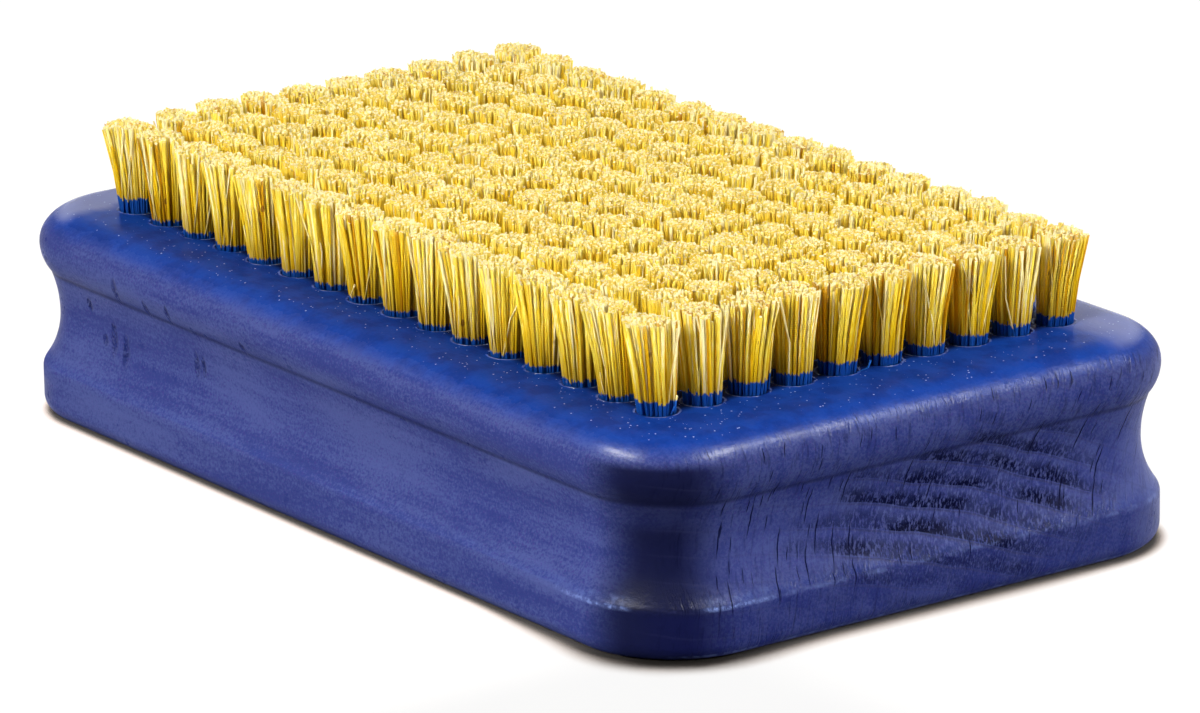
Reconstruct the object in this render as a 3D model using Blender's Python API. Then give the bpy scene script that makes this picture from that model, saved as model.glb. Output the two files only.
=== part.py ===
"""Ski wax brush: a lacquered wooden block filled with tufts of stiff plant fibre.

The block lies on its back with the bristles up. Lengths are in metres, +Z is
up, X runs along the block and Y across it. The origin is on the floor, under
the middle of the block.
"""
import math
import random

import bmesh
import bpy
from mathutils import Matrix, Vector

# The block's plan
block_length = 0.120
block_width = 0.0715
plan_corner_radius = 0.0116

# The block's side, from the floor up. The heights are stacked on each other.
bottom_round = 0.0019
lower_band_height = 0.0031
lip_radius = 0.0014
cove_lower_height = 0.0062
cove_upper_height = 0.0050
cove_depth = 0.00205
crease_rise = 0.00095
bead_lower_height = 0.0030
top_round_height = 0.0036
top_round_width = 0.0045

# The tufts and the slices of wood that carry them
row_pitch = 0.00635
tuft_pitch = 0.00565
end_margin = 0.0122
side_margin = 0.0102
hole_radius = 0.0019
bristle_length = 0.0100
tip_clearance = 0.00075
tip_drift = 0.0001
tip_splay = 0.0004
tip_unevenness = 0.0003
root_depth = 0.0006
slice_thickness = 0.0025
seat_gap = 0.0003
cut_overrun = 0.001

# Counts that set how finely the round shapes are cut
corner_steps = 8
round_steps = 5
cove_steps = 4
bead_steps = 3
lip_steps = 2
strands_per_tuft = 3
strand_sides = 4
sharp_angle = math.radians(24)
unevenness_seed = 16

# A strand is a wedge of its tuft. Shares of the tuft's radius.
strand_centre_share = 0.55
strand_radial_share = 0.45
strand_side_share = 0.70

band_top = bottom_round + lower_band_height
waist_height = band_top + cove_lower_height
crease_height = waist_height + cove_upper_height
bead_height = crease_height + bead_lower_height
block_height = bead_height + top_round_height
crease_inset = cove_depth - crease_rise

row_count = 1 + int((block_length - 2 * end_margin) / row_pitch)
tufts_in_row = 1 + int((block_width - 2 * side_margin) / tuft_pitch)
row_span = (row_count - 1) * row_pitch
tuft_span = (tufts_in_row - 1) * tuft_pitch
slice_width = row_pitch - seat_gap
slice_length = tufts_in_row * tuft_pitch
tip_radius = (min(row_pitch, tuft_pitch) - tip_clearance) / 2


def clear_scene():
    """Remove every object that the file holds."""
    for item in list(bpy.data.objects):
        bpy.data.objects.remove(item, do_unlink=True)


def new_collection(name):
    """Return a collection linked to the scene."""
    collection = bpy.data.collections.new(name)
    bpy.context.scene.collection.children.link(collection)
    return collection


def new_material(name, colour, roughness, coat=0.0):
    """Return a Principled material."""
    material = bpy.data.materials.new(name)
    material.use_nodes = True
    shader = material.node_tree.nodes["Principled BSDF"]
    shader.inputs["Base Color"].default_value = (*colour, 1.0)
    shader.inputs["Roughness"].default_value = roughness
    shader.inputs["Metallic"].default_value = 0.0
    shader.inputs["Coat Weight"].default_value = coat
    material.diffuse_color = (*colour, 1.0)
    return material


def new_object(name, bm, collection, material):
    """Turn a bmesh into a named object with one material."""
    mesh = bpy.data.meshes.new(name)
    bm.to_mesh(mesh)
    bm.free()
    mesh.materials.append(material)
    item = bpy.data.objects.new(name, mesh)
    collection.objects.link(item)
    return item


def hide_cutter(item):
    """Keep a helper solid out of the model."""
    item.hide_render = True
    item.display_type = 'WIRE'


def cut_or_join(item, helper, operation):
    """Add an exact Boolean that keeps each side's own material."""
    boolean = item.modifiers.new(operation.lower(), 'BOOLEAN')
    boolean.object = helper
    boolean.operation = operation
    boolean.solver = 'EXACT'
    boolean.material_mode = 'TRANSFER'


def arc(centre, radii, start, end, steps):
    """Points on an elliptical arc, in inset and height, angles in degrees."""
    points = []
    for step in range(steps + 1):
        angle = math.radians(start + (end - start) * step / steps)
        inset = centre[0] + radii[0] * math.cos(angle)
        points.append((inset, centre[1] + radii[1] * math.sin(angle)))
    return points


def bow(rise, run):
    """Sweep in degrees and sum of the radii of arcs that climb run and shift rise."""
    sweep = 2 * math.atan2(rise, run)
    return math.degrees(sweep), run / math.sin(sweep)


def side_profile():
    """The block's side from floor to top face, as (inset, height) pairs."""
    lower_sweep, lower_radii = bow(cove_depth, cove_lower_height)
    cove_radius = lower_radii - lip_radius
    upper_sweep, upper_radius = bow(crease_rise, cove_upper_height)
    bead_sweep, bead_radius = bow(crease_inset, bead_lower_height)
    lower_centre = (cove_depth - cove_radius, waist_height)
    upper_centre = (cove_depth - upper_radius, waist_height)
    bead_centre = (bead_radius, bead_height)
    round_radii = (bottom_round, bottom_round)
    profile = arc(round_radii, round_radii, 270, 180, round_steps)
    profile += arc((lip_radius, band_top), (lip_radius, lip_radius), 180, 180 - lower_sweep, lip_steps)
    profile += arc(lower_centre, (cove_radius, cove_radius), -lower_sweep, 0, cove_steps)[1:]
    profile += arc(upper_centre, (upper_radius, upper_radius), 0, upper_sweep, bead_steps)[1:]
    profile += arc(bead_centre, (bead_radius, bead_radius), 180 + bead_sweep, 180, bead_steps)[1:]
    top_radii = (top_round_width, top_round_height)
    profile += arc((top_round_width, bead_height), top_radii, 180, 90, round_steps)[1:]
    return profile


def plan_ring(bm, inset, height):
    """One rounded rectangle of vertices, drawn in from the block's plan by inset."""
    radius = plan_corner_radius - inset
    reach_x = block_length / 2 - plan_corner_radius
    reach_y = block_width / 2 - plan_corner_radius
    ring = []
    for quarter, (side_x, side_y) in enumerate(((1, 1), (-1, 1), (-1, -1), (1, -1))):
        for step in range(corner_steps + 1):
            angle = math.radians(90 * (quarter + step / corner_steps))
            x = side_x * reach_x + radius * math.cos(angle)
            y = side_y * reach_y + radius * math.sin(angle)
            ring.append(bm.verts.new((x, y, height)))
    return ring


def make_block(collection, cutters, material):
    """The wooden block: a loft of its plan up its side, with a bed for the slices."""
    bm = bmesh.new()
    rings = [plan_ring(bm, inset, height) for inset, height in side_profile()]
    for lower, upper in zip(rings, rings[1:]):
        for index in range(len(lower)):
            after = (index + 1) % len(lower)
            bm.faces.new((lower[index], lower[after], upper[after], upper[index]))
    bm.faces.new(reversed(rings[0]))
    bm.faces.new(rings[-1])
    block = new_object("wood_block", bm, collection, material)
    block.data.shade_smooth()
    block.data.set_sharp_from_angle(angle=sharp_angle)

    bed_depth = slice_thickness + seat_gap
    bed_size = Vector((row_span + slice_width + 2 * seat_gap,
                       slice_length + 2 * seat_gap,
                       bed_depth + cut_overrun))
    bed_bm = bmesh.new()
    bmesh.ops.create_cube(bed_bm, size=1.0, matrix=Matrix.Diagonal((*bed_size, 1)))
    bed = new_object("bristle_bed_cutter", bed_bm, cutters, material)
    bed.location = (0, 0, block_height - bed_depth + bed_size.z / 2)
    hide_cutter(bed)
    cut_or_join(block, bed, 'DIFFERENCE')
    return block


def add_strand(bm, tuft_y, turn, tip_shift, tip_height):
    """One wedge of a tuft, which spreads from the hole to the tip."""
    half_height = (tip_height + root_depth) / 2
    shape = (Matrix.Translation((0, 0, half_height - root_depth))
             @ Matrix.Rotation(turn, 4, 'Z')
             @ Matrix.Translation((hole_radius * strand_centre_share, 0, 0))
             @ Matrix.Diagonal((strand_radial_share, strand_side_share, 1, 1)))
    made = bmesh.ops.create_cone(bm, cap_ends=True, segments=strand_sides,
                                 radius1=hole_radius, radius2=hole_radius,
                                 depth=2 * half_height, matrix=shape)
    flare = tip_radius / hole_radius
    for vertex in made["verts"]:
        climb = max(vertex.co.z, 0) / tip_height
        spread = 1 + (flare - 1) * climb
        vertex.co.x = vertex.co.x * spread + tip_shift[0] * climb
        vertex.co.y = vertex.co.y * spread + tip_shift[1] * climb + tuft_y


def make_row(number, collection, cutters, wood, fibre, chance):
    """One row of tufts across the block, fused to its own slice of the top face."""
    name = f"tuft_row_{number:02d}"
    row_x = (number - 1) * row_pitch - row_span / 2
    slice_bm = bmesh.new()
    bmesh.ops.create_cube(slice_bm, size=1.0,
                          matrix=Matrix.Translation((0, 0, -slice_thickness / 2))
                          @ Matrix.Diagonal((slice_width, slice_length, slice_thickness, 1)))
    row = new_object(name, slice_bm, collection, wood)
    row.location = (row_x, 0, block_height)

    strand_bm = bmesh.new()
    for index in range(tufts_in_row):
        tuft_y = index * tuft_pitch - tuft_span / 2
        lean_x = tip_splay * (2 * row_x / row_span) ** 3
        lean_y = tip_splay * (2 * tuft_y / tuft_span) ** 3
        tip_shift = (lean_x + chance.uniform(-tip_drift, tip_drift),
                     lean_y + chance.uniform(-tip_drift, tip_drift))
        tuft_turn = chance.uniform(0, math.tau)
        for strand in range(strands_per_tuft):
            tip_height = bristle_length - chance.uniform(0, tip_unevenness)
            turn = tuft_turn + math.tau * strand / strands_per_tuft
            add_strand(strand_bm, tuft_y, turn, tip_shift, tip_height)
    strands = new_object(f"{name}_strands", strand_bm, cutters, fibre)
    strands.location = row.location
    hide_cutter(strands)
    cut_or_join(row, strands, 'UNION')
    return row


def main():
    """Build the brush."""
    clear_scene()
    brush = new_collection("ski_wax_brush")
    cutters = new_collection("cutters")
    lacquer = new_material("blue_lacquered_wood", (0.052, 0.058, 0.262), 0.38, coat=0.4)
    fibre = new_material("plant_fibre", (0.72, 0.50, 0.13), 0.75)
    chance = random.Random(unevenness_seed)

    root = bpy.data.objects.new("brush_root", None)
    brush.objects.link(root)
    pieces = [make_block(brush, cutters, lacquer)]
    for number in range(1, row_count + 1):
        pieces.append(make_row(number, brush, cutters, lacquer, fibre, chance))
    for piece in pieces:
        piece.parent = root


main()
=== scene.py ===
"""Ski wax brush: the detailed visual model, a soft studio and the photograph's camera.

Lengths are in metres in the CAD frame: +Z is up, X runs along the block, and the
origin is on the floor under its middle. Material patterns are worked out in
millimetres.
"""
import math

import bmesh
import bpy
import numpy as np
from mathutils import Matrix, Vector


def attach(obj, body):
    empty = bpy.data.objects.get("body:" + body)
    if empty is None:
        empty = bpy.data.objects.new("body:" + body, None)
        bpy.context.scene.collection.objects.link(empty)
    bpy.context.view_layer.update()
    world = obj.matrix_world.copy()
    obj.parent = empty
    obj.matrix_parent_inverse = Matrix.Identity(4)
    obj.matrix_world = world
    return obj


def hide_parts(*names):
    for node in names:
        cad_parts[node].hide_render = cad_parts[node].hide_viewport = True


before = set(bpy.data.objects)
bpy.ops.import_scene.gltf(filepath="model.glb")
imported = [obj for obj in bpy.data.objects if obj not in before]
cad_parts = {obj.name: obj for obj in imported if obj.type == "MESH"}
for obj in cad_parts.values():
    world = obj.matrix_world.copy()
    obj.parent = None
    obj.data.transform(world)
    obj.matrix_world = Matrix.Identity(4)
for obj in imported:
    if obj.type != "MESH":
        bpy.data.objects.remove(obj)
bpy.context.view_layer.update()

MM = 1000.0

# The block, with the values that the CAD source uses
block_length = 0.120
block_width = 0.0715
plan_corner_radius = 0.0116
bottom_round = 0.0019
lower_band_height = 0.0031
lip_radius = 0.0014
cove_lower_height = 0.0062
cove_upper_height = 0.0050
cove_depth = 0.00205
crease_rise = 0.00095
bead_lower_height = 0.0030
top_round_height = 0.0036
top_round_width = 0.0045

band_top = bottom_round + lower_band_height
waist_height = band_top + cove_lower_height
crease_height = waist_height + cove_upper_height
bead_height = crease_height + bead_lower_height
block_height = bead_height + top_round_height
crease_inset = cove_depth - crease_rise

# The tufts
row_count = 16
tufts_in_row = 10
row_pitch = 0.00635
tuft_pitch = 0.00565
row_span = (row_count - 1) * row_pitch
tuft_span = (tufts_in_row - 1) * tuft_pitch
bristle_length = 0.0100
hole_radius = 0.00195

# How finely the block is cut
corner_steps = 24
round_steps = 12
lip_steps = 6
cove_steps = 12
bead_steps = 9
flat_margin = 0.0006
sharp_angle = math.radians(24)

# Drilled holes
hole_sides = 32
hole_depth = 0.0035
rim_width = 0.00020
rim_depth = 0.00022
rim_middle_share = 0.35
cutter_flare_share = 0.4

# The photograph's camera, fitted to the block's outline and the rows of holes. Angles in degrees.
camera_azimuth = -35.84
camera_elevation = 16.69
camera_roll = -0.69
camera_distance = 0.81824
camera_lens = 230.64
sensor_width = 36.0
view_target = Vector((0, 0, 0.01534))
view_slide = (0.001677, -0.002731)


# Node helpers

class Value:
    """What a node's output gives. Python's operators on it add Math nodes."""

    def __init__(self, socket):
        self.socket = socket
        self.tree = socket.id_data

    def __add__(self, other):
        return maths('ADD', self, other)

    def __sub__(self, other):
        return maths('SUBTRACT', self, other)

    def __rsub__(self, other):
        return maths('SUBTRACT', other, self)

    def __mul__(self, other):
        return maths('MULTIPLY', self, other)

    def __truediv__(self, other):
        return maths('DIVIDE', self, other)

    def __abs__(self):
        return maths('ABSOLUTE', self)


def feed(socket, value):
    """Link or set one input."""
    if isinstance(value, Value):
        value.tree.links.new(value.socket, socket)
    else:
        socket.default_value = value


def node(tree, kind, inputs=None, **settings):
    """Add a node. An input is a number, a colour, a vector or a Value."""
    made = tree.nodes.new(kind)
    for name, value in settings.items():
        setattr(made, name, value)
    for name, value in (inputs or {}).items():
        feed(made.inputs[name], value)
    return made


def result(tree, kind, inputs=None, output=0, **settings):
    """Add a node and take one of its outputs."""
    return Value(node(tree, kind, inputs, **settings).outputs[output])


def maths(operation, *values, clamp=False):
    """A Math node's result. At least one of the numbers is a Value."""
    tree = next(value.tree for value in values if isinstance(value, Value))
    return result(tree, "ShaderNodeMath", dict(enumerate(values)), operation=operation, use_clamp=clamp)


def largest(first, second):
    """The larger of two numbers."""
    return maths('MAXIMUM', first, second)


def vectors(operation, *values, output="Vector"):
    """A Vector Math node's result. The first vector is a Value."""
    tree = values[0].tree
    return result(tree, "ShaderNodeVectorMath", dict(enumerate(values)), output, operation=operation)


def scaled(place, factors):
    """The place multiplied by a factor along each axis."""
    return vectors('MULTIPLY', place, factors)


def point(x, y, z=0.0):
    """A vector from three numbers, the first of them a Value."""
    return result(x.tree, "ShaderNodeCombineXYZ", {0: x, 1: y, 2: z})


def parts(vector):
    """A vector's three numbers."""
    made = node(vector.tree, "ShaderNodeSeparateXYZ", {0: vector})
    return [Value(output) for output in made.outputs]


def step(value, low, high, start=0.0, end=1.0):
    """A soft step from start to end as the value goes from low to high."""
    inputs = {"Value": value, "From Min": low, "From Max": high, "To Min": start, "To Max": end}
    return result(value.tree, "ShaderNodeMapRange", inputs, interpolation_type='SMOOTHSTEP')


def blend(factor, first, second):
    """Two colours mixed by a factor, the RGBA inputs and output of a Mix node."""
    return result(factor.tree, "ShaderNodeMix", {0: factor, 6: first, 7: second}, 2, data_type='RGBA')


def noise(place, scale, detail=2.0, roughness=0.5):
    """Noise read at a place in millimetres."""
    inputs = {"Vector": place, "Scale": scale, "Detail": detail, "Roughness": roughness}
    return result(place.tree, "ShaderNodeTexNoise", inputs, "Fac")


def cells(place, scale, randomness=1.0, dimensions='3D'):
    """Scattered cells: a random number for each, the distance to its middle and the middle."""
    inputs = {"Vector": place, "Scale": scale, "Randomness": randomness}
    made = node(place.tree, "ShaderNodeTexVoronoi", inputs, voronoi_dimensions=dimensions)
    pick = result(place.tree, "ShaderNodeSeparateColor", {0: Value(made.outputs["Color"])})
    return pick, Value(made.outputs["Distance"]), Value(made.outputs["Position"])


def bump(relief, height):
    """The normal that a relief gives, where height is what a relief of 1 stands for."""
    inputs = {"Strength": 1.0, "Distance": height, "Height": relief}
    return result(relief.tree, "ShaderNodeBump", inputs)


def place_in_mm(tree):
    """The point's place on the object, in millimetres, whole and split."""
    coordinates = result(tree, "ShaderNodeTexCoord", output="Object")
    whole = scaled(coordinates, (MM, MM, MM))
    return whole, *parts(whole)


def shown_white(tree):
    """1 for the rays that show the background: camera, glossy and transmission."""
    rays = node(tree, "ShaderNodeLightPath").outputs
    seen = largest(Value(rays["Is Camera Ray"]), Value(rays["Is Glossy Ray"]))
    return largest(seen, Value(rays["Is Transmission Ray"]))


def new_material(name):
    """A material, with the node tree and the Principled shader that it starts with."""
    material = bpy.data.materials.new(name)
    material.use_nodes = True
    return material, material.node_tree, material.node_tree.nodes["Principled BSDF"]


# Block material. Places and sizes in this section are in millimetres.

band_mm = band_top * MM
waist_mm = waist_height * MM
crease_mm = crease_height * MM
top_mm = block_height * MM
half_row_span = row_span / 2 * MM
half_tuft_span = tuft_span / 2 * MM

deep_blue = (0.029, 0.042, 0.182, 1)
pale_blue = (0.065, 0.085, 0.246, 1)
top_blue = (0.003, 0.044, 0.300, 1)
top_shade = (0.002, 0.028, 0.220, 1)
stain_plum = (0.060, 0.026, 0.190, 1)
# Lavender for painted reflection on the top face's far edges and the far round, and painted highlights in
# the torn grain
painted_reflection_lavender = (0.240, 0.265, 0.470, 1)
# Navy for the dye that the end grain takes up, and for painted shade on the ends' low band
end_grain_and_shade_navy = (0.004, 0.006, 0.080, 1)
# Navy for painted shade on the near corner, the ends and the crease, and for the real torn grain
shade_and_torn_grain_navy = (0.0055, 0.0070, 0.034, 1)
# Pale blue for the lip's painted highlight and for worn edges
pale_wear_and_highlight = (0.240, 0.330, 0.700, 1)
# Pale blue for the painted highlight on the rims round the holes
rim_highlight_pale = (0.30, 0.36, 0.62, 1)
dent_blue = (0.006, 0.012, 0.100, 1)
ring_olive = (0.034, 0.037, 0.100, 1)
slit_black = (0.000, 0.001, 0.020, 1)
# Near black for the painted shadow between the tufts
painted_shadow_black = (0.004, 0.005, 0.016, 1)
# Pale blue for painted light in the ends' upward-facing cove
painted_cove_light = (0.085, 0.105, 0.330, 1)
dust_white = (0.55, 0.66, 0.90, 1)

lacquer_specular = 0.012
coat_weight = 0.006
coat_roughness = 0.20

# The pith of the tree lies far below the block, so rings cross its ends as flat arcs
pith_y = -44.7
pith_z = -146.1
pith_distance = 158.0
ring_gap = 2.5
ring_drift = 1.6
check_drift = 0.5

# Checks: the cell round each, then its half width and half length
long_check_cell = (1.8, 6.0)
long_check_size = (0.095, 2.3)
short_check_cell = (1.4, 2.8)
short_check_size = (0.065, 0.85)

# The zone of torn grain on the ends, across and up
torn_middle = (4.5, 9.5)
torn_reach = (21.0, 8.5)

# Where masks start and where they are full
corner_zone = (-0.8, 6.0)
crease_zone = (crease_mm + 0.5, crease_mm - 0.5)
below_crease = (crease_mm + 0.3, crease_mm - 0.7)
cove_head = (crease_mm - 3.6, crease_mm - 1.6)
cove_head_top = (crease_mm + 0.4, crease_mm - 0.6)
cove_top = (crease_mm, waist_mm)
cove_bottom = (band_mm + 0.6, band_mm + 2.5)
below_band = (band_mm + 0.6, band_mm - 0.4)
above_band = (band_mm - 0.6, band_mm + 0.6)
above_crease = (crease_mm - 0.5, crease_mm + 0.8)
check_start = (-31.0, -26.5)
check_thinning = (-22.0, 8.0)
end_shade_zone = (2.0, -26.0)
far_sheen_zone = (24.0, 34.0)
near_half = (38.0, 56.0)
far_half = (50.0, 30.0)
dent_side = (-30.0, -33.0)
# Where the painted reflection along the top face's far edges wavers, starts and is full
sheen_edge_waver = 3.0
sheen_edge_x = (0.5 - half_row_span, -2.5 - half_row_span)
sheen_edge_y = (half_tuft_span - 3.6, half_tuft_span + 2.0)
field_edge_x = (half_row_span + 1.8, half_row_span + 0.4)
field_edge_y = (half_tuft_span + 1.8, half_tuft_span + 0.4)
rim_edge_x = (half_row_span + row_pitch / 2 * MM, half_row_span + 2.9)
rim_edge_y = (half_tuft_span + tuft_pitch / 2 * MM, half_tuft_span + 2.7)
rim_offset = 0.30
rim_half_width = 0.26

# Lines along the moulding: heights, then how far from them a line ends and where it is full
lip_height = band_mm + 0.48
lip_sheen_height = band_mm + 1.0
foot_height = 0.45
crease_line = (0.45, 0.05)
lip_line = (0.36, 0.0)
lip_sheen_reach = (0.8, 0.2)
lip_gloss = (1.1, 0.5)
lip_dullness = (1.6, 0.8)
foot_line = (0.35, 0.05)

# The lip's two painted highlights beside the near corner, from the start of its round
highlight_on_long_side = ((-8.0, 2.0), (6.4, 4.4))
highlight_on_short_side = ((-7.0, 1.0), (5.0, 3.0))
highlight_side = (6.0, 9.0)

# Dents on one long side: along the block, height, half width and half height
dents = ((-40.1, 11.2, 0.50, 1.8), (-37.8, 10.4, 0.60, 1.6), (-36.9, 17.7, 0.45, 1.3),
         (-31.3, 16.9, 0.45, 0.8), (-44.4, 14.2, 0.45, 0.6), (-41.9, 10.7, 0.45, 0.6),
         (-26.8, 17.3, 0.35, 0.9), (-23.7, 12.2, 0.40, 1.3), (-22.4, 12.3, 0.35, 1.0),
         (-12.6, 16.9, 0.40, 0.6))

# How high or deep each mark stands in the relief
fine_relief = 0.048
brushed_relief = 0.030
grit_relief = 0.009
swell_relief = 0.25
rim_relief = 0.20
check_relief = 0.14
fleck_relief = 0.09
pore_relief = 0.03
dent_relief = 0.22
ring_relief = 0.03


class BlockSpot:
    """Where a point lies on the block, in millimetres and as shares from 0 to 1."""

    def __init__(self, tree):
        self.place, self.x, self.y, self.z = place_in_mm(tree)
        normal = result(tree, "ShaderNodeNewGeometry", output="Normal")
        normal_x, _, self.rise = parts(normal)
        self.end_face = step(abs(normal_x), 0.45, 0.85)
        self.up_face = step(self.rise, 0.80, 0.97)
        self.side_part = largest(step(self.rise, 0.55, 0.20), step(self.z, *crease_zone))
        self.corner_x = self.x - (block_length / 2 - plan_corner_radius) * MM
        self.corner_y = (plan_corner_radius - block_width / 2) * MM - self.y
        self.near_corner = step(self.corner_x, *corner_zone) * step(self.corner_y, *corner_zone)
        self.off_corner = 1.0 - self.near_corner
        self.lip_gap = abs(self.z - lip_height)
        self.lip_seen = step(self.x, *near_half) * self.off_corner
        self.mottle = noise(scaled(self.place, (0.05, 0.35, 0.35)), 1.0, 3.0)


class EndGrain:
    """Marks of the wood that show on the block's ends, as shares from 0 to 1."""

    def __init__(self, spot):
        across = spot.y - pith_y
        up = spot.z - pith_z
        radius = vectors('LENGTH', point(across, up), output="Value")
        turn = maths('ARCTAN2', across, up) * pith_distance
        bent_turn = turn + noise(spot.place, 0.5) * check_drift
        self.checks = check_marks(spot, radius, bent_turn)
        self.torn_zone = torn_zone(spot)
        self.torn_end = spot.end_face * self.torn_zone

        late_line, self.early_band = ring_parts(spot, radius)
        self.ring_lines = late_line * spot.end_face * (self.torn_zone * 0.40 + 0.15)
        self.fleck_noise = noise(point(turn * 4.2, radius * 1.7, spot.x * 0.3), 1.0, 2.0, 0.6)
        fleck_share = maths('ADD', self.early_band * 0.92, 0.20, clamp=True)
        self.flecks = step(self.fleck_noise, 0.44, 0.52) * fleck_share * self.torn_end
        pores = noise(point(bent_turn * 2.4, radius * 0.35, spot.x * 0.05), 1.0, 3.0, 0.65)
        self.pores = step(pores, 0.50, 0.66) * spot.end_face


def ring_parts(spot, radius):
    """The dark late line and the soft early band of each growth ring."""
    waver = noise(scaled(spot.place, (0.02, 0.09, 0.09)), 1.0)
    phase = maths('FRACT', (radius + (waver - 0.5) * ring_drift) / ring_gap)
    late_line = step(phase, 0.86, 0.95) * step(phase, 1.0, 0.97)
    early_band = step(phase, 0.0, 0.05) * step(phase, 0.85, 0.20)
    fade = noise(scaled(spot.place, (0.02, 0.14, 0.28)), 1.0)
    return late_line, early_band * step(fade, 0.36, 0.58, 0.35, 1.0)


def torn_zone(spot):
    """The ragged oval in which the grain is torn."""
    across = (spot.y - torn_middle[0]) / torn_reach[0]
    up = (spot.z - torn_middle[1]) / torn_reach[1]
    edge = across * across + up * up + noise(spot.place, 0.20)
    return step(edge, 1.75, 0.70)


def scattered_marks(across, along, cell, half_size):
    """Thin marks, one in each cell of a plane, and a random number for each."""
    place = point(across / cell[0], along / cell[1])
    pick, _, middle = cells(place, 1.0, 0.9, '2D')
    offset_x, offset_y, _ = parts(vectors('SUBTRACT', place, middle))
    x_share = offset_x * (cell[0] / half_size[0])
    y_share = offset_y * (cell[1] / half_size[1])
    return step(x_share * x_share + y_share * y_share, 1.0, 0.25), pick


def check_marks(spot, radius, bent_turn):
    """Drying checks, which run out from the pith."""
    long_checks, long_pick = scattered_marks(bent_turn, radius, long_check_cell, long_check_size)
    short_checks, short_pick = scattered_marks(bent_turn, radius, short_check_cell, short_check_size)
    kept = maths('GREATER_THAN', long_pick, step(spot.y, *check_thinning, 0.30, 0.74))
    checks = largest(long_checks * (kept * step(spot.z, *below_crease)),
                     short_checks * step(short_pick, 0.60, 0.70))
    thinned = step(spot.y, *check_start, 0.1, 1.0) * step(spot.z, *above_band, 0.3, 1.0)
    return checks * thinned * spot.end_face


def dent_marks(spot):
    """The dents near one end of a long side."""
    near = 0.0
    for middle, height, half_width, half_height in dents:
        across = (spot.x - middle) / half_width
        up = (spot.z - height) / half_height
        near = largest(near, step(across * across + up * up, 2.0, 0.0))
    ragged = step(noise(spot.place, 2.2, 1.0), 0.30, 0.55)
    return step(spot.y, *dent_side) * (near * ragged)


def hole_offset(value, half_span, pitch):
    """How far a point lies from the nearest hole's middle, along one axis."""
    return maths('WRAP', value + half_span, pitch / 2 * MM, -pitch / 2 * MM)


def rim_marks(spot):
    """The ring of lacquer that stands up round each drilled hole, broken here and there."""
    offset_x = hole_offset(spot.x, half_row_span, row_pitch)
    offset_y = hole_offset(spot.y, half_tuft_span, tuft_pitch)
    distance = maths('SQRT', offset_x * offset_x + offset_y * offset_y)
    ring = step(abs(distance - (hole_radius * MM + rim_offset)), rim_half_width, 0.02)
    broken = step(noise(spot.place, 0.9), 0.38, 0.58)
    in_field = step(abs(spot.x), *rim_edge_x) * step(abs(spot.y), *rim_edge_y)
    return ring * broken * in_field * spot.up_face


def dust_marks(spot):
    """Dust that dried in on the top face."""
    pick, distance, _ = cells(spot.place, 2.2)
    size = step(pick, 0.55, 1.0, -0.02, 0.20)
    specks = step(distance - size, 0.02, -0.02) * step(spot.rise, 0.90, 0.97)
    return specks * step(noise(spot.place, 0.32), 0.40, 0.56, 0.6, 1.0)


def stain_colour(spot):
    """The blue stain, mottled along the grain and darker on the ends."""
    grain = noise(scaled(spot.place, (0.25, 3.0, 3.0)), 1.0)
    speckle = noise(spot.place, 3.2, 3.0, 0.7)
    tint = (spot.mottle * 1.1 - 0.2) + grain * 0.3 + (speckle - 0.5) * 1.3
    colour = blend(step(tint, 0.25, 0.75), deep_blue, pale_blue)
    plum = noise(spot.place, 4.0, 2.0, 0.6)
    colour = blend(step(plum, 0.52, 0.72, 0.0, 0.40), colour, stain_plum)
    return blend(spot.end_face * 0.28, colour, end_grain_and_shade_navy)


def colour_top(spot, colour):
    """A clearer blue on the top face, carried onto the upper rounds as painted reflection, and pale along
    its two far edges as painted reflection.
    """
    cloud = noise(spot.place, 0.30, 3.0, 0.6)
    azure = blend(step(cloud, 0.35, 0.62), top_shade, top_blue)
    # The top face's clearer lacquer, carried down the upward-facing rounds as a painted reflection of the
    # light above.
    colour = blend(step(spot.rise, 0.42, 0.97, 0.0, 0.9), colour, azure)
    # Painted reflection: the top face is paler along its two far edges.
    sheen_x = step(spot.x + spot.mottle * sheen_edge_waver, *sheen_edge_x, 0.0, 0.74)
    sheen_y = step(spot.y - spot.mottle * sheen_edge_waver, *sheen_edge_y, 0.0, 0.70)
    return blend(largest(sheen_x, sheen_y) * spot.up_face, colour, painted_reflection_lavender)


def colour_sides(spot, colour):
    """Painted shade on the near corner, and lighter and darker stretches of the sides that are painted
    light and shade.
    """
    upper_cove = step(spot.z, *cove_head) * step(spot.z, *cove_head_top)
    # Painted shade: the near corner is darkened, less so in its upper cove.
    painted_corner_shade = spot.near_corner * spot.side_part * (0.97 - upper_cove * 0.24)
    colour = blend(painted_corner_shade, colour, shade_and_torn_grain_navy)
    # Painted shade: the ends darken towards the near corner.
    end_shade = step(spot.y, *end_shade_zone, 0.0, 0.08) * spot.end_face
    colour = blend(end_shade * spot.side_part, colour, shade_and_torn_grain_navy)
    # Painted shade: the band below the lip on the ends is darker.
    colour = blend(step(spot.z, *below_band, 0.0, 0.24) * spot.end_face, colour, end_grain_and_shade_navy)
    # Painted light: the ends' cove, which faces up, is lighter away from the near corner.
    in_cove = step(spot.z, *cove_top) * step(spot.z, *cove_bottom)
    colour = blend(in_cove * spot.off_corner * 0.18 * spot.end_face, colour, painted_cove_light)
    # Painted reflection: the sides turn paler towards the far round.
    far_round_sheen = step(spot.y, *far_sheen_zone, 0.0, 0.30)
    return blend(far_round_sheen * spot.side_part, colour, painted_reflection_lavender)


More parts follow.
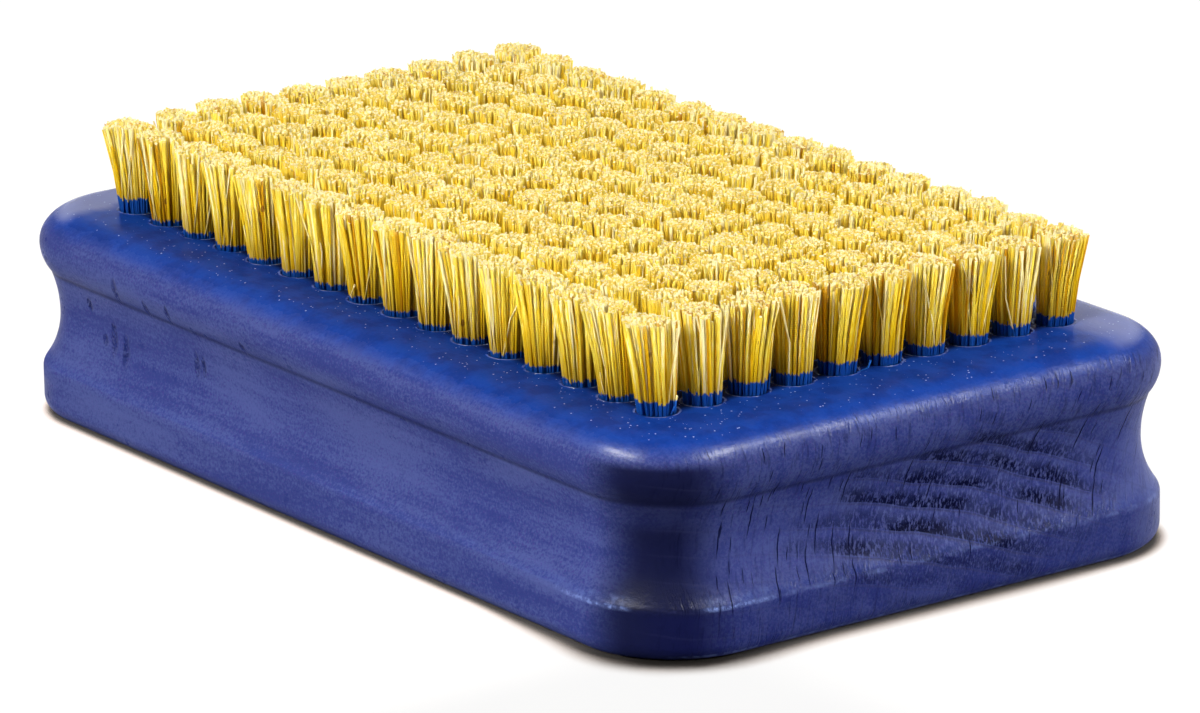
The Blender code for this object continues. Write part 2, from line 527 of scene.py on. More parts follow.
def colour_edges(spot, colour):
    """A dark crease line of painted shade, a pale lip of painted highlight and wear, and a worn foot."""
    # Painted shade: a dark line where the cove meets the bead.
    crease = step(abs(spot.z - crease_mm), *crease_line) * 0.45
    colour = blend(crease, colour, shade_and_torn_grain_navy)

    # Painted highlight with some wear: a pale line and sheen along the lip, strongest in two stretches
    # beside the near corner.
    line = step(spot.lip_gap, *lip_line)
    lip_sheen = step(abs(spot.z - lip_sheen_height), *lip_sheen_reach, 0.0, 0.22)
    patches = spot.lip_seen * step(noise(spot.place, 0.35, 4.0, 0.65), 0.40, 0.66, 0.0, 0.24)
    on_long = step(spot.corner_x, *highlight_on_long_side[0]) * step(spot.corner_x, *highlight_on_long_side[1])
    on_short = step(spot.corner_y, *highlight_on_short_side[0]) * step(spot.corner_y, *highlight_on_short_side[1])
    painted_lip_highlight = largest(on_long * step(spot.corner_y, *highlight_side), on_short * step(spot.corner_x, *highlight_side))
    painted_lip_highlight = painted_lip_highlight * step(noise(spot.place, 1.1, 4.0, 0.7), 0.42, 0.68, 0.10, 0.80)
    colour = blend(largest(line * patches, largest(line, lip_sheen) * painted_lip_highlight), colour, pale_wear_and_highlight)

    foot_patches = step(noise(spot.place, 1.3, 3.0, 0.6), 0.42, 0.62, 0.0, 0.40)
    foot = step(abs(spot.z - foot_height), *foot_line) * foot_patches
    return blend(foot * spot.end_face, colour, pale_wear_and_highlight)


def colour_ends(spot, grain, colour):
    """Growth rings, pores, torn grain with painted highlights among its flecks, and checks on the ends."""
    colour = blend(grain.ring_lines, colour, ring_olive)
    pore_share = step(spot.z, *above_crease, 0.22, 0.36)
    colour = blend(grain.pores * pore_share, colour, slit_black)
    torn_tone = grain.early_band * grain.torn_zone * (spot.end_face * 0.42)
    colour = blend(torn_tone, colour, shade_and_torn_grain_navy)
    colour = blend(grain.flecks * 0.98, colour, slit_black)
    # Painted highlight: pale specks between the dark torn flecks.
    painted_fleck_highlight = step(grain.fleck_noise, 0.42, 0.34, 0.0, 0.12) * grain.torn_end
    colour = blend(painted_fleck_highlight, colour, painted_reflection_lavender)
    return blend(grain.checks * 0.92, colour, slit_black)


def lacquer_roughness(spot, grain):
    """Satin: smoother on top and along the near lip, duller in torn grain and on the far lip."""
    smear = noise(scaled(spot.place, (0.4, 0.4, 0.4)), 1.0, 4.0, 0.6)
    rough = step(smear, 0.25, 0.75, 0.26, 0.38) - spot.up_face * 0.13 + grain.flecks * 0.12
    rough = rough - spot.lip_seen * step(spot.lip_gap, *lip_gloss, 0.0, 0.08)
    return rough + step(spot.lip_gap, *lip_dullness, 0.0, 0.22) * step(spot.x, *far_half)


def lacquer_relief(spot, grain, dented, rims):
    """The height of the surface, in millimetres."""
    fine = noise(spot.place, 1.8, 4.0, 0.65)
    brushed = noise(scaled(spot.place, (0.35, 2.2, 2.2)), 1.0, 3.0, 0.6)
    grit = noise(spot.place, 4.5, 2.0, 0.6)
    swell = noise(scaled(spot.place, (0.10, 0.22, 0.22)), 1.0, 1.0)
    relief = fine * fine_relief + brushed * brushed_relief + grit * grit_relief
    relief = relief - grain.checks * check_relief - grain.flecks * fleck_relief
    relief = relief - grain.pores * pore_relief - dented * dent_relief
    relief = relief + rims * rim_relief + swell * swell_relief
    return relief - grain.ring_lines * ring_relief


def lacquer_material():
    """Blue satin lacquer over wood, with growth rings and checks at the ends."""
    material, tree, shader = new_material("blue_lacquer_on_wood")
    spot = BlockSpot(tree)
    grain = EndGrain(spot)
    dented = dent_marks(spot)
    rims = rim_marks(spot)

    colour = colour_top(spot, stain_colour(spot))
    colour = colour_sides(spot, colour)
    colour = colour_edges(spot, colour)
    colour = colour_ends(spot, grain, colour)
    colour = blend(dented * 0.70, colour, dent_blue)
    # Painted shadow: the top face is near black between the tufts.
    shade_between_tufts = step(abs(spot.x), *field_edge_x) * step(abs(spot.y), *field_edge_y)
    colour = blend(shade_between_tufts * spot.up_face * 0.85, colour, painted_shadow_black)
    # Painted highlight: a pale glint on the raised rim round each hole.
    colour = blend(rims * 0.35, colour, rim_highlight_pale)
    colour = blend(dust_marks(spot) * 0.7, colour, dust_white)

    feed(shader.inputs["Base Color"], colour)
    feed(shader.inputs["Roughness"], lacquer_roughness(spot, grain))
    shader.inputs["Specular IOR Level"].default_value = lacquer_specular
    shader.inputs["Coat Weight"].default_value = coat_weight
    shader.inputs["Coat Roughness"].default_value = coat_roughness
    feed(shader.inputs["Normal"], bump(lacquer_relief(spot, grain, dented, rims), 1 / MM))
    return material


# Fibre material. Places and sizes in this section are in millimetres.

fibre_gold = (0.84, 0.54, 0.006, 1)
fibre_straw = (0.90, 0.70, 0.085, 1)
fibre_cream = (0.95, 0.83, 0.42, 1)
# Brown for brown fibres and streaks, and for painted shade at the roots
brown_fibre_and_shade = (0.52, 0.20, 0.006, 1)
cut_cream = (0.91, 0.80, 0.46, 1)
speck_red = (0.20, 0.05, 0.02, 1)
root_blue = (0.012, 0.095, 0.420, 1)

tip_mm = (block_height + bristle_length) * MM
# How far up from the block the painted root shade reaches, in mm
root_shade_reach = 4.5
tip_wear_reach = 1.2
stain_waver = 0.5
stain_fade = 0.12
fibre_specular = 0.004
fibre_relief = 0.03


def attribute(tree, name):
    """A number that the mesh carries."""
    return result(tree, "ShaderNodeAttribute", output="Fac", attribute_name=name)


def fibre_tint(place, z, tone, streak):
    """Gold, straw and cream by the fibre's tone, with brown streaks, and painted shade: deeper gold lower
    down and browner feet.
    """
    climb = step(z, top_mm, tip_mm)
    # Painted shade: fibres turn a deeper gold lower in the tuft and paler towards the tips.
    shade = tone * 0.85 + (streak - 0.5) * 0.9 + (climb * 0.26 - 0.16)
    colour = blend(step(shade, 0.10, 0.60), fibre_gold, fibre_straw)
    colour = blend(step(shade, 0.52, 0.78), colour, fibre_cream)
    brown_streak = step(noise(scaled(place, (3.0, 3.0, 0.18)), 1.0), 0.62, 0.75)
    colour = blend(brown_streak * 0.45, colour, brown_fibre_and_shade)
    colour = blend(step(tone, 0.34, 0.0, 0.0, 0.7), colour, brown_fibre_and_shade)
    # Painted shade: browner towards the roots, where the tufts shade each other.
    return blend(step(z, top_mm + root_shade_reach, top_mm, 0.0, 0.38), colour, brown_fibre_and_shade)


def fibre_material():
    """Stiff plant fibre, streaked along its length, with cut ends and stained roots."""
    material, tree, shader = new_material("plant_fibre_strands")
    place, _, _, z = place_in_mm(tree)
    streak = noise(scaled(place, (5.0, 5.0, 0.35)), 1.0, 3.0, 0.6)
    colour = fibre_tint(place, z, attribute(tree, "tone"), streak)

    pick, distance, _ = cells(scaled(place, (1.0, 1.0, 0.6)), 0.55)
    speck = step(distance, 0.16, 0.10) * step(pick, 0.80, 0.84)
    colour = blend(speck * 0.7, colour, speck_red)
    tip_wear = step(z, tip_mm - tip_wear_reach, tip_mm, 0.0, 0.20)
    colour = blend(largest(tip_wear, attribute(tree, "cut_end") * 0.9), colour, cut_cream)
    stain_edge = attribute(tree, "stain_height") + (streak - 0.5) * stain_waver
    stained = step((z - top_mm) - stain_edge, stain_fade, -stain_fade)
    colour = blend(stained, colour, root_blue)

    feed(shader.inputs["Base Color"], colour)
    feed(shader.inputs["Roughness"], step(streak, 0.3, 0.7, 0.50, 0.70))
    shader.inputs["Specular IOR Level"].default_value = fibre_specular
    relief = noise(scaled(place, (9.0, 9.0, 0.8)), 1.0)
    feed(shader.inputs["Normal"], bump(relief, fibre_relief / MM))
    return material


# Block mesh

def arc(centre, radii, start, end, steps):
    """Points on an elliptical arc, in inset and height, angles in degrees."""
    points = []
    for index in range(steps + 1):
        angle = math.radians(start + (end - start) * index / steps)
        inset = centre[0] + radii[0] * math.cos(angle)
        points.append((inset, centre[1] + radii[1] * math.sin(angle)))
    return points


def bow(rise, run):
    """Sweep in degrees and sum of the radii of arcs that climb run and shift rise."""
    sweep = 2 * math.atan2(rise, run)
    return math.degrees(sweep), run / math.sin(sweep)


def side_profile():
    """The block's side from floor to top face, as (inset, height) pairs."""
    lower_sweep, lower_radii = bow(cove_depth, cove_lower_height)
    cove_radius = lower_radii - lip_radius
    upper_sweep, upper_radius = bow(crease_rise, cove_upper_height)
    bead_sweep, bead_radius = bow(crease_inset, bead_lower_height)
    lower_centre = (cove_depth - cove_radius, waist_height)
    upper_centre = (cove_depth - upper_radius, waist_height)
    bead_centre = (bead_radius, bead_height)
    round_radii = (bottom_round, bottom_round)
    profile = [(bottom_round + flat_margin, 0)]
    profile += arc(round_radii, round_radii, 270, 180, round_steps)
    profile += arc((lip_radius, band_top), (lip_radius, lip_radius), 180, 180 - lower_sweep, lip_steps)
    profile += arc(lower_centre, (cove_radius, cove_radius), -lower_sweep, 0, cove_steps)[1:]
    profile += arc(upper_centre, (upper_radius, upper_radius), 0, upper_sweep, cove_steps)[1:]
    profile += arc(bead_centre, (bead_radius, bead_radius), 180 + bead_sweep, 180, bead_steps)[1:]
    top_radii = (top_round_width, top_round_height)
    profile += arc((top_round_width, bead_height), top_radii, 180, 90, round_steps)[1:]
    profile += [(top_round_width + flat_margin, block_height)]
    return profile


def plan_ring(bm, inset, height):
    """One rounded rectangle of vertices, drawn in from the block's plan by inset."""
    radius = plan_corner_radius - inset
    reach_x = block_length / 2 - plan_corner_radius
    reach_y = block_width / 2 - plan_corner_radius
    ring = []
    for quarter, (side_x, side_y) in enumerate(((1, 1), (-1, 1), (-1, -1), (1, -1))):
        for index in range(corner_steps + 1):
            angle = math.radians(90 * (quarter + index / corner_steps))
            x = side_x * reach_x + radius * math.cos(angle)
            y = side_y * reach_y + radius * math.sin(angle)
            ring.append(bm.verts.new((x, y, height)))
    return ring


def close_rings(bm, rings):
    """Faces between rings of vertices that follow each other, and the two caps."""
    for lower, upper in zip(rings, rings[1:]):
        for index in range(len(lower)):
            after = (index + 1) % len(lower)
            bm.faces.new((lower[index], lower[after], upper[after], upper[index]))
    bm.faces.new(reversed(rings[0]))
    bm.faces.new(rings[-1])


def new_object(name, mesh):
    """Link a mesh to the scene as an object."""
    item = bpy.data.objects.new(name, mesh)
    bpy.context.scene.collection.objects.link(item)
    return item


def bmesh_object(name, bm):
    """Turn a bmesh into an object."""
    mesh = bpy.data.meshes.new(name)
    bm.to_mesh(mesh)
    bm.free()
    return new_object(name, mesh)


def tuft_places():
    """The middle of each tuft: row number, place in the row, x and y."""
    for row in range(row_count):
        for index in range(tufts_in_row):
            yield row, index, row * row_pitch - row_span / 2, index * tuft_pitch - tuft_span / 2


def hole_cutter():
    """Every drilled hole with its softened rim, as one mesh of closed solids."""
    section = ((hole_radius, block_height - hole_depth),
               (hole_radius, block_height - rim_depth),
               (hole_radius + rim_width * rim_middle_share, block_height - rim_depth * rim_middle_share),
               (hole_radius + rim_width, block_height),
               (hole_radius + rim_width * 2, block_height + rim_depth * cutter_flare_share))
    bm = bmesh.new()
    for _, _, x, y in tuft_places():
        rings = []
        for radius, height in section:
            ring = [bm.verts.new((x + radius * math.cos(math.tau * side / hole_sides),
                                  y + radius * math.sin(math.tau * side / hole_sides), height))
                    for side in range(hole_sides)]
            rings.append(ring)
        close_rings(bm, rings)
    return bmesh_object("holes", bm)


def make_block(material):
    """The lacquered block with its cove, bead, rounded edges and drilled top."""
    bm = bmesh.new()
    close_rings(bm, [plan_ring(bm, inset, height) for inset, height in side_profile()])
    block = bmesh_object("lacquered_block", bm)
    cutter = hole_cutter()
    boolean = block.modifiers.new("drill", 'BOOLEAN')
    boolean.object = cutter
    boolean.operation = 'DIFFERENCE'
    boolean.solver = 'EXACT'
    drilled = bpy.data.meshes.new_from_object(block.evaluated_get(bpy.context.evaluated_depsgraph_get()))
    block.modifiers.clear()
    block.data = drilled
    drilled.name = "lacquered_block"
    bpy.data.objects.remove(cutter, do_unlink=True)
    drilled.shade_smooth()
    drilled.set_sharp_from_angle(angle=sharp_angle)
    drilled.materials.clear()
    drilled.materials.append(material)
    return block


# Fibre meshes. A spread is a standard deviation, and a range is a lowest and highest value.

fibres_per_tuft = 230
fibre_sides = 4
fibre_levels = (-0.16, 0.48, 1.0)
fibre_seed = 2026
golden_angle = 2.39996
tip_spread = 0.28
root_reach = 0.00174
tip_reach = 0.00248
root_angle_spread = 0.12
root_share_spread = 0.03
flare_range = (0.95, 1.03)
tip_stretch = (1.16, 0.98)
tip_stretch_spread = 0.04
tip_angle_spread = 0.06
tuft_turn_spread = 0.05
tip_share_spread = 0.045
tip_share_limit = 1.06
outline_waves = ((2, 0.05), (3, 0.05), (5, 0.03))

# How far the outer tufts lean out, and what the tufts by the near corner add to that
edge_lean = (0.0006, 0.0005)
lean_spread = 0.00018
near_corner_leans = {(15, 0): (-0.00045, -0.00040), (14, 0): (-0.0006, -0.0005),
                     (13, 0): (-0.0003, -0.0003), (15, 1): (-0.0003, -0.0003)}

# How evenly a tuft is cut
fibre_height_spread = 0.00018
tuft_height_spread = 0.00008
tuft_height_range = (-0.0002, 0.0001)
edge_drop = 0.00045
crown_wave = 0.0001
crown_waves = ((1, 1.0), (2, 0.8))
short_range = (0.0002, 0.0010)
tall_range = (0.0001, 0.00025)
uneven_share = 0.05
bend_spread = 0.00007
width_range = (0.00010, 0.00018)
depth_range = (0.70, 0.95)

# How a fibre turns, tilts at its cut end and swells
climb_power = 1.12
twist_spread = 0.5
slant_spread = 0.35
swell_spread = 0.06

# Tones, from brown at 0 to cream at 1
tone_middle = 0.51
tone_spread = 0.21
tone_waves = ((2, 0.10),)
# How much darker the inner tufts are, as painted shade
inner_shade_drop = 0.15
inner_tone_floor = 0.25
end_row_contrast = 1.5

# Thin fibres that lean across an outer tuft's side
strays_per_tuft = 5
stray_angle_spread = 0.45
stray_root_share = 1.05
stray_tip_range = (0.95, 1.10)
stray_tone_range = (0.7, 1.0)
stray_root_spread = 0.0003
stray_tip_spread = 0.0011
stray_drop_range = (0.0001, 0.0016)
stray_bend_spread = 0.00035
stray_width_range = (0.00007, 0.00011)

# Single fibres are nearly round
single_depth = 0.9

# Fibres bent out by the root: facing in degrees, then reach, height, sideways and half width in mm
loose_ends = {(15, 4): (25, 1.5, 1.2, 1.1, 0.09), (15, 0): (10, 0.5, 1.9, 0.5, 0.10),
              (14, 0): (-80, 0.5, 4.2, -0.8, 0.08), (7, 0): (-90, 0.8, 2.2, 1.2, 0.09),
              (15, 7): (-10, 0.6, 6.5, 1.6, 0.08), (15, 6): (0, 0.5, 7.5, -1.7, 0.08)}

# How far up the lacquer has run into the outer tufts, in mm
side_stain = 0.55
end_stain = 1.5
end_stain_fall = 0.06
stain_range = (0.85, 1.15)
stain_spread = 0.10


def wavy(chance, angle, waves):
    """A sum of waves round a tuft, each a count of turns and a size."""
    return sum(size * np.sin(turns * angle + chance.uniform(0, math.tau)) for turns, size in waves)


def around(angle):
    """Unit vectors at the angles, one in each line."""
    return np.stack((np.cos(angle), np.sin(angle)), 1)


def tuft_tips(chance, row, index, x, y, angle, share):
    """How far each tip stands from its tuft's middle, in plan."""
    count = fibres_per_tuft
    lean_x, lean_y = 2 * x / row_span, 2 * y / tuft_span
    lean = np.array((edge_lean[0] * lean_x ** 3, edge_lean[1] * lean_y ** 3))
    lean = lean + chance.normal(0, lean_spread, 2)
    lean += near_corner_leans.get((row, index), (0, 0))
    flare = tip_reach * chance.uniform(*flare_range)
    stretch = np.array(tip_stretch) + chance.normal(0, tip_stretch_spread, 2)
    tip_angle = angle + chance.normal(0, tip_angle_spread, count) + chance.normal(0, tuft_turn_spread)
    tip_share = np.clip(share + chance.normal(0, tip_share_spread, count), 0, tip_share_limit)
    tip_share *= 1 + wavy(chance, angle, outline_waves)
    return around(tip_angle) * (tip_share * flare)[:, None] * stretch + lean


def tuft_heights(chance, angle, share):
    """Each fibre's height and sideways bend."""
    count = fibres_per_tuft
    height = bristle_length - np.abs(chance.normal(0, fibre_height_spread, count)) - edge_drop * share ** 3
    height += np.clip(chance.normal(0, tuft_height_spread), *tuft_height_range)
    height += crown_wave * share * wavy(chance, angle, crown_waves)
    short = chance.random(count) < uneven_share
    height -= short * chance.uniform(*short_range, count)
    bend = chance.normal(0, bend_spread, (count, 2))
    tall = chance.random(count) < uneven_share
    height += tall * chance.uniform(*tall_range, count)
    return height, bend


def tuft_tones(chance, row, index, angle):
    """Each fibre's tone: darker inside the field as painted shade, with more brown fibres on the near end
    row.
    """
    tone = chance.normal(tone_middle, tone_spread, fibres_per_tuft)
    tone = np.clip(tone + wavy(chance, angle, tone_waves), 0, 1)
    # Painted shade: the tufts inside the field, whose sides lie in shadow, get darker tones.
    if 0 < row < row_count - 1 and 0 < index < tufts_in_row - 1:
        tone = np.clip(tone - inner_shade_drop, inner_tone_floor, 1)
    if row == row_count - 1:
        browner = np.clip(0.5 + (tone - 0.5) * end_row_contrast, 0, 1)
        tone = np.where(tone < 0.5, browner, tone)
    return tone


def tuft_fibres(chance, row, index, x, y):
    """Roots, tips and the like for one tuft, an array for each."""
    count = fibres_per_tuft
    order = np.arange(count)
    angle = order * golden_angle + chance.uniform(0, math.tau) + chance.normal(0, root_angle_spread, count)
    share = np.sqrt((order + 0.5) / count)
    share = np.clip(share + chance.normal(0, root_share_spread, count), 0, 1)
    root = around(angle) * (share * root_reach)[:, None]
    tip = tuft_tips(chance, row, index, x, y, angle, share)
    height, bend = tuft_heights(chance, angle, share)
    width = chance.uniform(*width_range, count)
    depth = width * chance.uniform(*depth_range, count)
    turn = chance.uniform(0, math.tau, count)
    tone = tuft_tones(chance, row, index, angle)
    return [root, tip, height, bend, width, depth, turn, tone]


def outward_sides(row, index):
    """The directions in which a tuft stands on the edge of the field."""
    sides = []
    if row == 0:
        sides.append(math.pi)
    if row == row_count - 1:
        sides.append(0.0)
    if index == 0:
        sides.append(-math.pi / 2)
    if index == tufts_in_row - 1:
        sides.append(math.pi / 2)
    return sides


def stray_fibres(chance, row, index):
    """Thin fibres that lean across the outward side of an outer tuft."""
    sides = outward_sides(row, index)
    if not sides:
        return None
    count = strays_per_tuft
    facing = chance.choice(sides, count) + chance.normal(0, stray_angle_spread, count)
    radial = around(facing)
    across = around(facing + math.pi / 2)
    root = radial * root_reach * stray_root_share
    root = root + across * chance.normal(0, stray_root_spread, count)[:, None]
    tip = radial * (tip_reach * chance.uniform(*stray_tip_range, count))[:, None]
    tip = tip + across * chance.normal(0, stray_tip_spread, count)[:, None]
    height = bristle_length - chance.uniform(*stray_drop_range, count)
    bend = across * chance.normal(0, stray_bend_spread, count)[:, None]
    width = chance.uniform(*stray_width_range, count)
    turn = chance.uniform(0, math.tau, count)
    tone = chance.uniform(*stray_tone_range, count)
    return [root, tip, height, bend, width, width * single_depth, turn, tone]


def loose_fibre(row, index):
    """A bent fibre that sticks out of a tuft by its root, where there is one."""
    if (row, index) not in loose_ends:
        return None
    facing, reach, height, sideways, width = loose_ends[(row, index)]
    facing = np.array((math.radians(facing),))
    radial = around(facing)
    across = around(facing + math.pi / 2)
    root = radial * root_reach
    tip = radial * (root_reach + reach / MM) + across * sideways / MM
    bend = radial * reach * 0.6 / MM
    height = np.array((height / MM,))
    width = np.array((width / MM,))
    turn, tone = np.array((0.5,)), np.array((0.95,))
    return [root, tip, height, bend, width, width * single_depth, turn, tone]


def stain_for(chance, row, index, count):
    """How far up, in millimetres, the lacquer has run into a tuft's roots."""
    reach = 0.0
    if index in (0, tufts_in_row - 1):
        reach = side_stain
    if row in (0, row_count - 1):
        reach = end_stain - end_stain_fall * index
    if not reach:
        return np.full(count, -1.0)
    return reach * chance.uniform(*stain_range) + chance.normal(0, stain_spread, count)


def strand_points(fibres, chance):
    """The vertices of each fibre: a small ring at each level from root to tip."""
    root, tip, height, bend, width, depth, turn, _, _ = fibres
    count = len(height)
    levels = np.array(fibre_levels)
    climb = np.clip(levels, 0, 1)
    along = climb ** climb_power
    sway = np.sin(np.pi * climb)
    twist = chance.normal(0, twist_spread, count)
    slant = chance.normal(0, slant_spread, (count, 2))
    swell = 1 + chance.normal(0, swell_spread, (count, len(levels)))
    swell = swell * (1 + tip_spread * climb)

    sides = np.arange(fibre_sides) * math.tau / fibre_sides
    ring_x = width[:, None, None] * np.cos(sides) * swell[:, :, None]
    ring_y = depth[:, None, None] * np.sin(sides) * swell[:, :, None]
    angle = turn[:, None] + twist[:, None] * climb
    cos, sin = np.cos(angle)[:, :, None], np.sin(angle)[:, :, None]
    around_x = ring_x * cos - ring_y * sin
    around_y = ring_x * sin + ring_y * cos

    middle = (root[:, None, :] + (tip - root)[:, None, :] * along[:, None]
              + bend[:, None, :] * sway[:, None])
    points = np.empty((count, len(levels), fibre_sides, 3))
    points[..., 0] = middle[..., 0, None] + around_x
    points[..., 1] = middle[..., 1, None] + around_y
    points[..., 2] = block_height + (height[:, None] * levels)[:, :, None]
    cut_tilt = around_x[:, -1] * slant[:, 0, None] + around_y[:, -1] * slant[:, 1, None]
    points[:, -1, :, 2] += cut_tilt
    return points


def strand_faces():
    """One strand's faces: its sides from root to tip, then the cut end and the root end."""
    faces = []
    for level in range(len(fibre_levels) - 1):
        for side in range(fibre_sides):
            after = (side + 1) % fibre_sides
            low, high = level * fibre_sides, (level + 1) * fibre_sides
            faces.append((low + side, low + after, high + after, high + side))
    first_tip = (len(fibre_levels) - 1) * fibre_sides
    faces.append(tuple(range(first_tip, first_tip + fibre_sides)))
    faces.append(tuple(reversed(range(fibre_sides))))
    return faces


def fibre_mesh(name, fibres, chance):
    """One closed strand for each fibre, joined in one mesh."""
    points = strand_points(fibres, chance)
    tone, stain = fibres[-2:]
    count = len(tone)
    faces = strand_faces()
    per_fibre = len(fibre_levels) * fibre_sides
    corners = np.concatenate(faces)
    sizes = np.array([len(face) for face in faces])
    strands = np.arange(count)[:, None]
    all_corners = strands * per_fibre + corners
    starts = strands * len(corners) + (np.cumsum(sizes) - sizes)

    mesh = bpy.data.meshes.new(name)
    mesh.vertices.add(count * per_fibre)
    mesh.vertices.foreach_set("co", points.astype(np.float32).ravel())
    mesh.loops.add(all_corners.size)
    mesh.loops.foreach_set("vertex_index", all_corners.astype(np.int32).ravel())
    mesh.polygons.add(starts.size)
    mesh.polygons.foreach_set("loop_start", starts.astype(np.int32).ravel())
    mesh.update(calc_edges=True)

    cut_end = np.zeros((count, len(faces)), np.float32)
    cut_end[:, -2] = 1.0
    smooth = np.ones((count, len(faces)), bool)
    smooth[:, -2:] = False
    mesh.polygons.foreach_set("use_smooth", smooth.ravel())
    mesh.attributes.new("cut_end", 'FLOAT', 'FACE').data.foreach_set("value", cut_end.ravel())
    for title, values in (("tone", tone), ("stain_height", stain)):
        spread = np.repeat(values, per_fibre).astype(np.float32)
        mesh.attributes.new(title, 'FLOAT', 'POINT').data.foreach_set("value", spread)
    mesh.validate()
    return mesh


def make_rows(material):
    """A piece of fibres for each row of tufts."""
    chance = np.random.default_rng(fibre_seed)
    rows = [[] for _ in range(row_count)]
    for row, index, x, y in tuft_places():
        for made in (tuft_fibres(chance, row, index, x, y), stray_fibres(chance, row, index),
                     loose_fibre(row, index)):
            if made is None:
                continue
            made[0] = made[0] + (x, y)
            made[1] = made[1] + (x, y)
            made.append(stain_for(chance, row, index, len(made[2])))
            rows[row].append(made)
    for row, tufts in enumerate(rows):
        fibres = [np.concatenate(values) for values in zip(*tufts)]
        name = f"fibres_row_{row + 1:02d}"
        piece = new_object(name, fibre_mesh(name, fibres, chance))
        piece.data.materials.append(material)
        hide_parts(f"tuft_row_{row + 1:02d}")
        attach(piece, "root")


# Studio

lamp_distance = 0.9
world_level = 0.35
floor_size = (8, 8)

# Lamps: azimuth and elevation in degrees, size, and the level at which each shows a white card
fill_lamps = {"key": (-72, 30, (0.30, 0.30), 0.85),
              "left_fill": (-125, 18, (0.55, 0.45), 0.25),
              "right_fill": (40, 18, (0.55, 0.45), 0.87),
              "top_fill": (0, 80, (0.60, 0.60), 0.08),
              "back_fill": (140, 22, (0.55, 0.45), 0.30)}
gleam_lamps = {"left_gleam": (-106, 53, (0.46, 0.12), 20.0),
               "right_gleam": (32, 55, (0.50, 0.10), 19.0)}

# The black flag: azimuth and elevation in degrees, then distance and size
flag_direction = (-50, 16)
flag_distance = 1.3
flag_size = (1.1, 0.7)

# The painted contact shadow's reach, in metres: everywhere, more by the near end, and more by its corner
shadow_reach = 0.0013
end_reach = 0.0024
far_end_reach = 0.0006
corner_reach = 0.0018
occlusion_samples = 8

# Where the near end and its corner lie on the table, in millimetres
near_end_zone = (28.0, 52.0)
near_end_depth = (8.0, 34.0)
corner_along = (44.0, 57.0)
corner_across = (-12.0, -29.0)

shadow_tint = (1.0, 0.82, 0.72, 1)
pure_white = (1, 1, 1, 1)
table_fill = (0.30, 0.30, 0.30, 1)
cloth_grey = (0.12, 0.11, 0.10, 1)
corner_shadow_dark = (0.02, 0.018, 0.016, 1)
flag_black = (0.008, 0.008, 0.009, 1)
flag_weave = (0.016, 0.016, 0.017, 1)


def direction(azimuth, elevation):
    """A unit vector towards an azimuth and elevation in degrees."""
    turn, rise = math.radians(azimuth), math.radians(elevation)
    return Vector((math.cos(rise) * math.cos(turn), math.cos(rise) * math.sin(turn), math.sin(rise)))


def make_camera():
    """The photograph's camera."""
    outward = direction(camera_azimuth, camera_elevation)
    right = Vector((0, 0, 1)).cross(outward).normalized()
    up = outward.cross(right)
    roll = math.radians(camera_roll)
    across = right * math.cos(roll) + up * math.sin(roll)
    above = up * math.cos(roll) - right * math.sin(roll)
    place = (view_target + outward * camera_distance
             + across * view_slide[0] + above * view_slide[1])
    data = bpy.data.cameras.new("photo_camera")
    data.sensor_fit = 'HORIZONTAL'
    data.sensor_width = sensor_width
    data.lens = camera_lens
    data.clip_start = 0.01
    data.clip_end = 50
    camera = bpy.data.objects.new("photo_camera", data)
    camera.matrix_world = Matrix((
        (across.x, above.x, outward.x, place.x),
        (across.y, above.y, outward.y, place.y),
        (across.z, above.z, outward.z, place.z),
        (0, 0, 0, 1)))
    bpy.context.scene.collection.objects.link(camera)
    bpy.context.scene.camera = camera


def soft_light(name, azimuth, elevation, size, level):
    """An area light that alone shows a white card, square to it, at the given level."""
    data = bpy.data.lights.new(name, 'AREA')
    data.shape = 'RECTANGLE'
    data.size, data.size_y = size
    data.energy = level * math.pi ** 2 * lamp_distance ** 2
    lamp = bpy.data.objects.new(name, data)
    outward = direction(azimuth, elevation)
    lamp.location = outward * lamp_distance
    lamp.rotation_euler = outward.to_track_quat('Z', 'Y').to_euler()
    bpy.context.scene.collection.objects.link(lamp)
    return lamp


def plane(name, size, matrix, material):
    """A rectangle of the studio."""
    bm = bmesh.new()
    corners = ((-1, -1), (1, -1), (1, 1), (-1, 1))
    bm.faces.new([bm.verts.new((x * size[0] / 2, y * size[1] / 2, 0)) for x, y in corners])
    item = bmesh_object(name, bm)
    item.data.transform(matrix)
    item.data.materials.append(material)
    return item


def table_glow(tree):
    """The table's white with a painted contact shadow, darker close to the object: its level, its colour
    and the corner's share.
    """
    _, x, y, _ = place_in_mm(tree)
    near_end = step(x, *near_end_zone)
    corner = step(x, *corner_along) * step(y, *corner_across)
    reach = near_end * step(y, *near_end_depth, end_reach, far_end_reach)
    reach = reach + corner * corner_reach + shadow_reach
    near = node(tree, "ShaderNodeAmbientOcclusion", {"Distance": reach}, samples=occlusion_samples)
    openness = Value(near.outputs["AO"])
    dark_end = corner * 0.18 + near_end * 0.08 + 0.34
    bright_end = near_end * 0.14 + 0.72
    level = step(openness, dark_end, bright_end, 0.0, 0.93)
    colour = blend(step(openness, 0.55, 0.92), shadow_tint, pure_white)
    return level, colour, corner


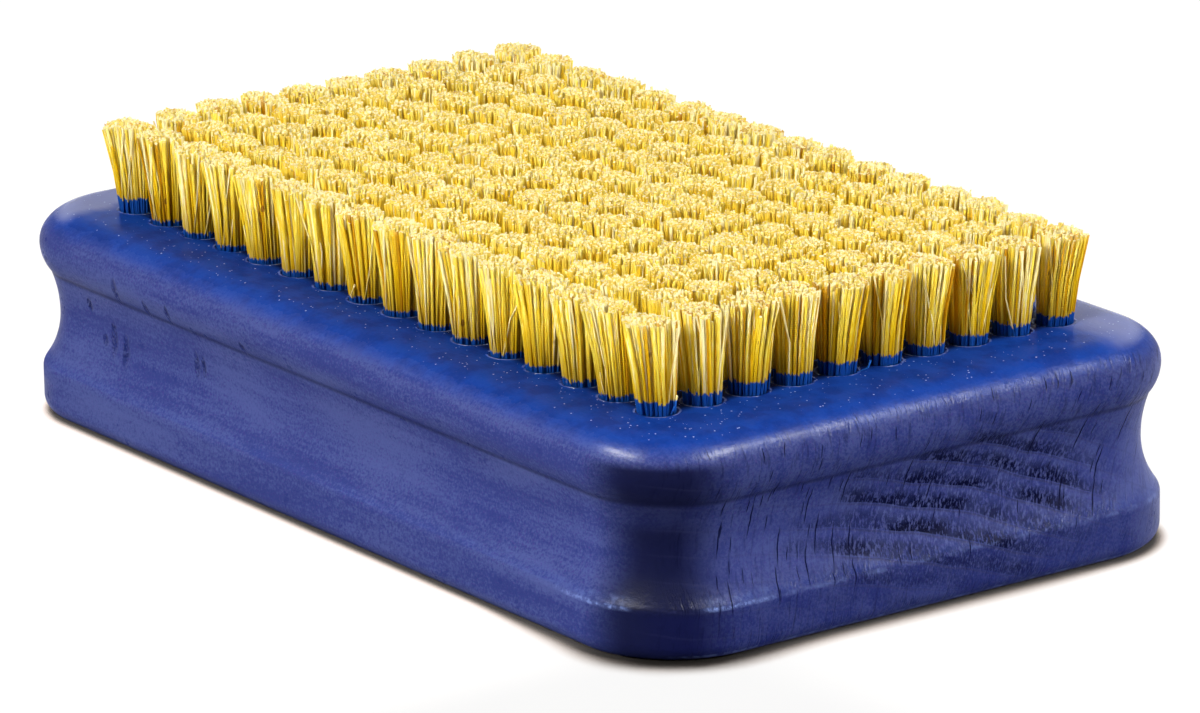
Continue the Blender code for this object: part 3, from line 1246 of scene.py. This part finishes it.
def floor_material():
    """A white table: it shows white with the object's shadow, painted from how near the object is, and
    fills it little.
    """
    material = bpy.data.materials.new("pale_table")
    material.use_nodes = True
    tree = material.node_tree
    tree.nodes.clear()
    level, colour, corner = table_glow(tree)
    glow = result(tree, "ShaderNodeEmission", {"Color": colour, "Strength": level})
    # Painted shadow: the table's diffuse colour darkens by the near corner.
    cloth = result(tree, "ShaderNodeBsdfDiffuse", {"Color": blend(corner, cloth_grey, corner_shadow_dark)})
    seen = result(tree, "ShaderNodeAddShader", {0: glow, 1: cloth})
    fill = result(tree, "ShaderNodeBsdfDiffuse", {"Color": table_fill})
    mix = result(tree, "ShaderNodeMixShader", {0: shown_white(tree), 1: fill, 2: seen})
    node(tree, "ShaderNodeOutputMaterial", {0: mix})
    return material


def flag_material():
    """Black cloth."""
    material, tree, shader = new_material("black_flag")
    weave = noise(place_in_mm(tree)[0], 0.8)
    feed(shader.inputs["Base Color"], blend(weave, flag_black, flag_weave))
    shader.inputs["Roughness"].default_value = 0.95
    shader.inputs["Specular IOR Level"].default_value = 0.1
    return material


def make_world():
    """Soft light from all round, behind which the background shows white."""
    world = bpy.data.worlds.new("studio")
    bpy.context.scene.world = world
    world.use_nodes = True
    tree = world.node_tree
    tree.nodes.clear()
    strength = shown_white(tree) * (1.0 - world_level) + world_level
    background = result(tree, "ShaderNodeBackground", {"Color": pure_white, "Strength": strength})
    node(tree, "ShaderNodeOutputWorld", {0: background})


def make_studio():
    """Floor, lights, a dark flag in front of the near corner, and the world."""
    plane("floor", floor_size, Matrix.Identity(4), floor_material())
    outward = direction(*flag_direction)
    turned = outward.to_track_quat('Z', 'Y').to_matrix().to_4x4()
    flag_place = Matrix.Translation(outward * flag_distance) @ turned
    flag = plane("front_flag", flag_size, flag_place, flag_material())
    flag.visible_camera = False
    for name, values in fill_lamps.items():
        soft_light(name, *values).visible_glossy = False
    for name, values in gleam_lamps.items():
        soft_light(name, *values).visible_diffuse = False
    make_world()


def main():
    """Dress the frame and set the studio."""
    make_camera()
    block = make_block(lacquer_material())
    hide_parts("wood_block")
    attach(block, "root")
    make_rows(fibre_material())
    make_studio()
    bpy.context.scene.view_settings.view_transform = "Standard"


main()
